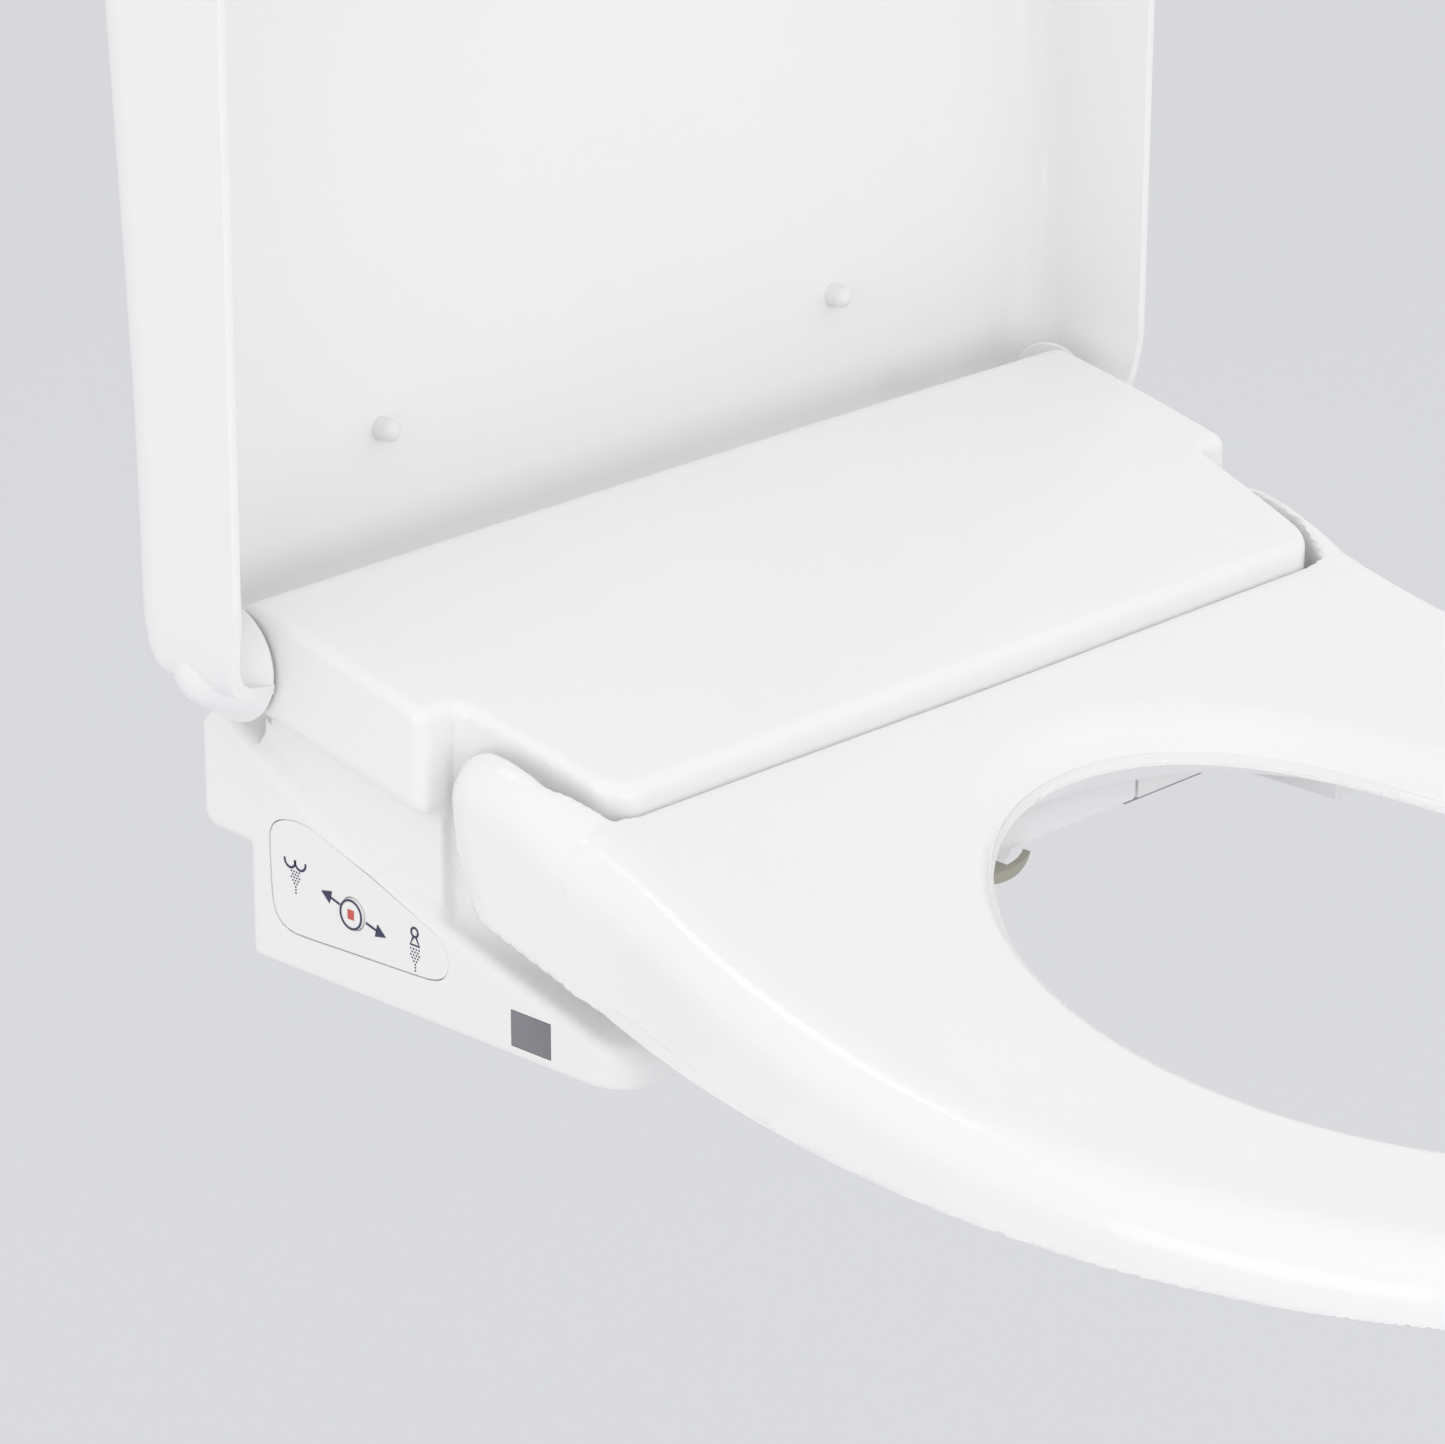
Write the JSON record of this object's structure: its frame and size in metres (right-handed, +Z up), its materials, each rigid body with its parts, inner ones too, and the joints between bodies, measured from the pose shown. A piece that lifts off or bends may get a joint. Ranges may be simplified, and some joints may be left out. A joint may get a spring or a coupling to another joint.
{
  "type": "electric bidet seat",
  "caption": "Electric bidet toilet seat: sloped housing with side controls, heated ring seat and deep lid on hinges, nozzles, dryer, water and mounting parts.",
  "frame": {"origin": "midway between the two mounting slots, in the plane of the underside that rests on the bowl", "axes": "+Z up, -Y towards the front of the seat, +X towards the sitter's left; the part mirrors about X = 0 on the outside but not inside"},
  "size_m": [0.4, 0.5451, 0.6019],
  "materials": {
    "white_gloss": "glossy white moulded plastic",
    "ivory_satin": "warm white moulded plastic",
    "seat_gloss": "glossy white seat plastic",
    "guard_plastic": "olive grey plastic",
    "smoked": "smoked infrared window",
    "black_plastic": "black moulded plastic",
    "grey_plastic": "grey moulded plastic",
    "white_inner": "natural white moulded plastic",
    "board": "circuit board with parts",
    "steel": "plain steel",
    "brass": "machined brass",
    "alu": "aluminium",
    "silicone": "translucent silicone hose",
    "pad_white": "white soft rubber",
    "carbon": "dark filter cassette"
  },
  "bodies": {
    "housing": {"base_tray": "ivory_satin", "top_cover": "white_gloss", "housing_screws": "steel", "rocker_pivots": "steel", "sensor_window": "smoked", "ir_receiver": "black_plastic", "main_board": "board", "power_board": "board", "cord_gland": "ivory_satin", "drain_plug": "grey_plastic", "release_spring": "steel", "inlet_fitting": "brass", "inlet_strainer": "grey_plastic", "solenoid_valve": "white_inner", "flow_sensor": "white_inner", "water_heater": "steel", "diverter_valve": "white_inner", "supply_hoses": "silicone", "nozzle_hoses": "silicone", "nozzle_housing": "white_inner", "nozzle_guard": "guard_plastic", "rear_motor": "steel", "front_motor": "steel", "blower_housing": "grey_plastic", "blower_motor": "steel", "dryer_duct": "grey_plastic", "dryer_heater": "steel", "flap_pin": "steel", "fan_frame": "black_plastic", "lid_pin": "steel", "lid_damper": "black_plastic", "seat_pin": "steel", "seat_damper": "black_plastic"},
    "lid": {"lid": "white_gloss", "lid_bumpers": "pad_white", "lid_damper_shaft": "steel"},
    "seat": {"seat_upper": "seat_gloss", "seat_lower": "seat_gloss", "seat_heater": "alu", "seat_thermostat": "black_plastic", "seat_bumpers": "pad_white", "seat_damper_shaft": "steel"},
    "rocker": {"control_rocker": "ivory_satin"},
    "stop": {"stop_button": "ivory_satin"},
    "release": {"release_button": "ivory_satin"},
    "plate": {"mounting_plate": "white_inner"},
    "rear_wand": {"rear_nozzle": "white_inner"},
    "front_wand": {"front_nozzle": "white_inner"},
    "rear_gear": {"rear_pinion": "white_inner"},
    "front_gear": {"front_pinion": "white_inner"},
    "flap": {"dryer_flap": "ivory_satin"},
    "impeller": {"blower_impeller": "black_plastic"},
    "fan": {"fan_rotor": "grey_plastic"},
    "turbine": {"flow_rotor": "black_plastic"},
    "filter": {"filter_cartridge": "carbon"}
  },
  "joints": [
    {"name": "lid_hinge", "type": "hinge", "parent": "housing", "child": "lid", "pos_m": [0, 0.041, 0.094], "axis": [1, 0, 0], "range_deg": [0, 96.5]},
    {"name": "seat_hinge", "type": "hinge", "parent": "housing", "child": "seat", "pos_m": [0, -0.054, 0.071], "axis": [1, 0, 0], "range_deg": [-96, 0]},
    {"name": "control_rocker_tilt", "type": "hinge", "parent": "housing", "child": "rocker", "pos_m": [-0.1686, -0.0005, 0.025], "axis": [0, 0, 1], "range_deg": [-2, 2], "stiffness_Nm_per_rad": 0.4},
    {"name": "stop_button_press", "type": "slide", "parent": "housing", "child": "stop", "axis": [1, 0, 0], "range_m": [0, 0.0012], "stiffness_N_per_m": 300},
    {"name": "release_button_press", "type": "slide", "parent": "housing", "child": "release", "axis": [-1, 0, 0], "range_m": [0, 0.003], "stiffness_N_per_m": 500},
    {"name": "mounting_plate_slide", "type": "slide", "parent": "housing", "child": "plate", "axis": [0, 1, 0], "range_m": [0, 0.06]},
    {"name": "rear_nozzle_slide", "type": "slide", "parent": "housing", "child": "rear_wand", "axis": [0, -0.8988, -0.4384], "range_m": [0, 0.075]},
    {"name": "front_nozzle_slide", "type": "slide", "parent": "housing", "child": "front_wand", "axis": [0, -0.8988, -0.4384], "range_m": [0, 0.075]},
    {"name": "rear_pinion_spin", "type": "hinge", "parent": "housing", "child": "rear_gear", "pos_m": [-0.012, -0.07684, 0.02672], "axis": [1, 0, 0], "range_deg": [-745, 5]},
    {"name": "front_pinion_spin", "type": "hinge", "parent": "housing", "child": "front_gear", "pos_m": [0.012, -0.07684, 0.02672], "axis": [1, 0, 0], "range_deg": [-745, 5]},
    {"name": "dryer_flap_hinge", "type": "hinge", "parent": "housing", "child": "flap", "pos_m": [0.0885, -0.0892, 0.029], "axis": [1, 0, 0], "range_deg": [-50, 0]},
    {"name": "blower_impeller_spin", "type": "hinge", "parent": "housing", "child": "impeller", "pos_m": [0.08, -0.001, 0.05], "axis": [1, 0, 0], "continuous": true},
    {"name": "deodoriser_fan_spin", "type": "hinge", "parent": "housing", "child": "fan", "pos_m": [0.132, -0.018, 0.01], "axis": [0, 0, 1], "continuous": true},
    {"name": "flow_rotor_spin", "type": "hinge", "parent": "housing", "child": "turbine", "pos_m": [0.108, 0.011, 0.024], "axis": [0, 0, 1], "continuous": true},
    {"name": "filter_slide", "type": "slide", "parent": "housing", "child": "filter", "axis": [1, 0, 0], "range_m": [0, 0.026]}
  ],
  "couplings": [
    {"joint": "rear_pinion_spin", "follows": "rear_nozzle_slide", "rad_per_m": -172.41},
    {"joint": "front_pinion_spin", "follows": "front_nozzle_slide", "rad_per_m": -172.41}
  ]
}
